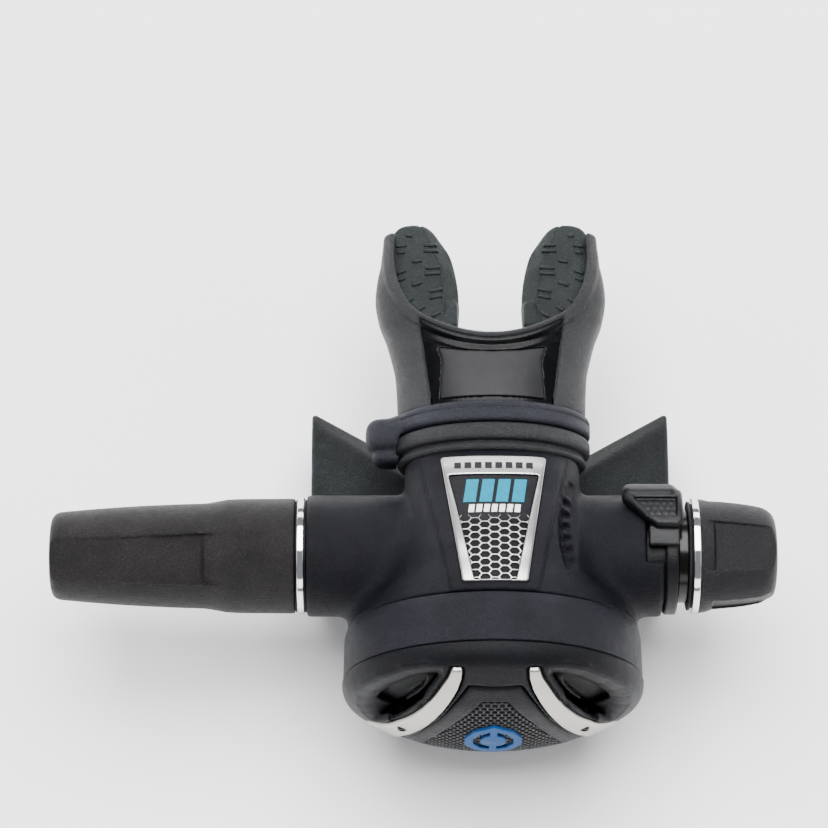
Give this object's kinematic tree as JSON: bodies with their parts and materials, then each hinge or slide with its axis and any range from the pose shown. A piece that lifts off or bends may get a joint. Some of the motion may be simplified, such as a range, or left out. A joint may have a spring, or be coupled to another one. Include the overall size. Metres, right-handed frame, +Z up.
{
  "type": "scuba second stage regulator",
  "caption": "Scuba second stage with a round case, side hose sleeve, breathing-effort knob and air-flow lever, purge cover, exhaust tee and bite mouthpiece.",
  "frame": {"origin": "on the hose inlet thread's axis, half-way along the thread", "axes": "+X along the valve barrel from the hose end to the knob, +Y towards the diver's mouth, -Y to the front cover, +Z up as worn"},
  "size_m": [0.1796, 0.1344, 0.0754],
  "materials": {
    "moulded_black": "fine moulded grain, satin",
    "satin_silver": "satin metal trim",
    "screw_steel": "small turned steel",
    "soft_black": "semi-matt moulded",
    "mesh_dark": "honeycomb pressing",
    "emblem_blue": "blue enamel",
    "spring_steel": "drawn wire",
    "silicone_clear": "smooth silicone",
    "disc_steel": "stamped stainless",
    "chrome_brass": "plated brass",
    "rubber_seal": "o-ring rubber",
    "raw_brass": "machined brass",
    "poppet_plastic": "white moulded",
    "seat_rubber": "flat seat disc",
    "chrome_trim": "polished ring",
    "sleeve_rubber": "grained rubber",
    "vane_plastic": "moulded inner sleeve",
    "dark_chrome": "dark polished metal",
    "knob_black": "satin grip",
    "tee_rubber": "matt moulded rubber",
    "mouth_silicone": "fine-grained silicone",
    "tie_nylon": "nylon strap",
    "panel_dark": "printed panel"
  },
  "bodies": {
    "housing": {"case": "moulded_black", "cover_ring": "moulded_black", "cover": "moulded_black", "blade_left": "satin_silver", "blade_right": "satin_silver", "blade_screws": "screw_steel", "diaphragm": "silicone_clear", "valve_body": "chrome_brass", "body_o_rings": "rubber_seal", "inlet_fitting": "chrome_brass", "orifice": "raw_brass", "orifice_o_ring": "rubber_seal", "lever_pin": "spring_steel", "lock_nut": "chrome_brass", "trim_ring": "chrome_trim", "knob_nut": "dark_chrome", "exhaust_tee": "tee_rubber", "mouthpiece": "mouth_silicone", "mouthpiece_tie": "tie_nylon", "name_plate": "satin_silver", "plate_panel": "panel_dark", "plate_mesh": "satin_silver", "poppet_spring": "spring_steel", "purge_spring": "spring_steel"},
    "purge": {"purge_button": "soft_black", "purge_mesh": "mesh_dark", "purge_emblem": "emblem_blue"},
    "diaphragm_centre": {"diaphragm_plate": "disc_steel"},
    "lever": {"demand_lever": "disc_steel"},
    "poppet": {"poppet": "poppet_plastic", "poppet_seat": "seat_rubber"},
    "air_flow": {"air_lever": "moulded_black", "air_vane": "vane_plastic"},
    "balance": {"balance_chamber": "poppet_plastic", "balance_o_ring": "rubber_seal"},
    "knob": {"knob": "knob_black", "knob_ring": "chrome_trim", "knob_cap": "knob_black", "knob_screw": "screw_steel", "control_screw": "raw_brass", "control_o_ring": "rubber_seal"},
    "exhaust": {"exhaust_valve": "silicone_clear"},
    "sleeve": {"hose_sleeve": "sleeve_rubber"}
  },
  "joints": [
    {"name": "purge_press", "type": "slide", "parent": "housing", "child": "purge", "axis": [0, 1, 0], "range_m": [0, 0.004], "stiffness_N_per_m": 500, "springref_m": -0.001, "deforming": ["purge_spring", "diaphragm"]},
    {"name": "diaphragm_move", "type": "slide", "parent": "housing", "child": "diaphragm_centre", "axis": [0, 1, 0], "range_m": [0, 0.0045]},
    {"name": "lever_rock", "type": "hinge", "parent": "housing", "child": "lever", "pos_m": [0.074, -0.0106, 0], "axis": [0, 0, 1], "range_deg": [-16, 0]},
    {"name": "poppet_lift", "type": "slide", "parent": "housing", "child": "poppet", "axis": [1, 0, 0], "range_m": [0, 0.002], "deforming": ["poppet_spring"]},
    {"name": "air_flow_turn", "type": "hinge", "parent": "housing", "child": "air_flow", "pos_m": [0.1, 0, 0], "axis": [1, 0, 0], "range_deg": [-48, 10]},
    {"name": "control_feed", "type": "slide", "parent": "housing", "child": "balance", "axis": [1, 0, 0], "range_m": [0, 0.0018]},
    {"name": "knob_turn", "type": "hinge", "parent": "housing", "child": "knob", "pos_m": [0.116, 0, 0], "axis": [1, 0, 0], "range_deg": [0, 720]},
    {"name": "exhaust_lift", "type": "slide", "parent": "housing", "child": "exhaust", "axis": [0, 0.766, -0.6428], "range_m": [0, 0.0012], "stiffness_N_per_m": 60, "springref_m": -0.0005},
    {"name": "sleeve_pull", "type": "slide", "parent": "housing", "child": "sleeve", "axis": [-1, 0, 0], "range_m": [0, 0.045]}
  ],
  "couplings": [
    {"joint": "diaphragm_move", "follows": "purge_press", "ratio": 1},
    {"joint": "lever_rock", "follows": "purge_press", "rad_per_m": -57.9},
    {"joint": "poppet_lift", "follows": "purge_press", "ratio": 0.4},
    {"joint": "control_feed", "follows": "knob_turn", "m_per_rad": 0.00011937}
  ]
}
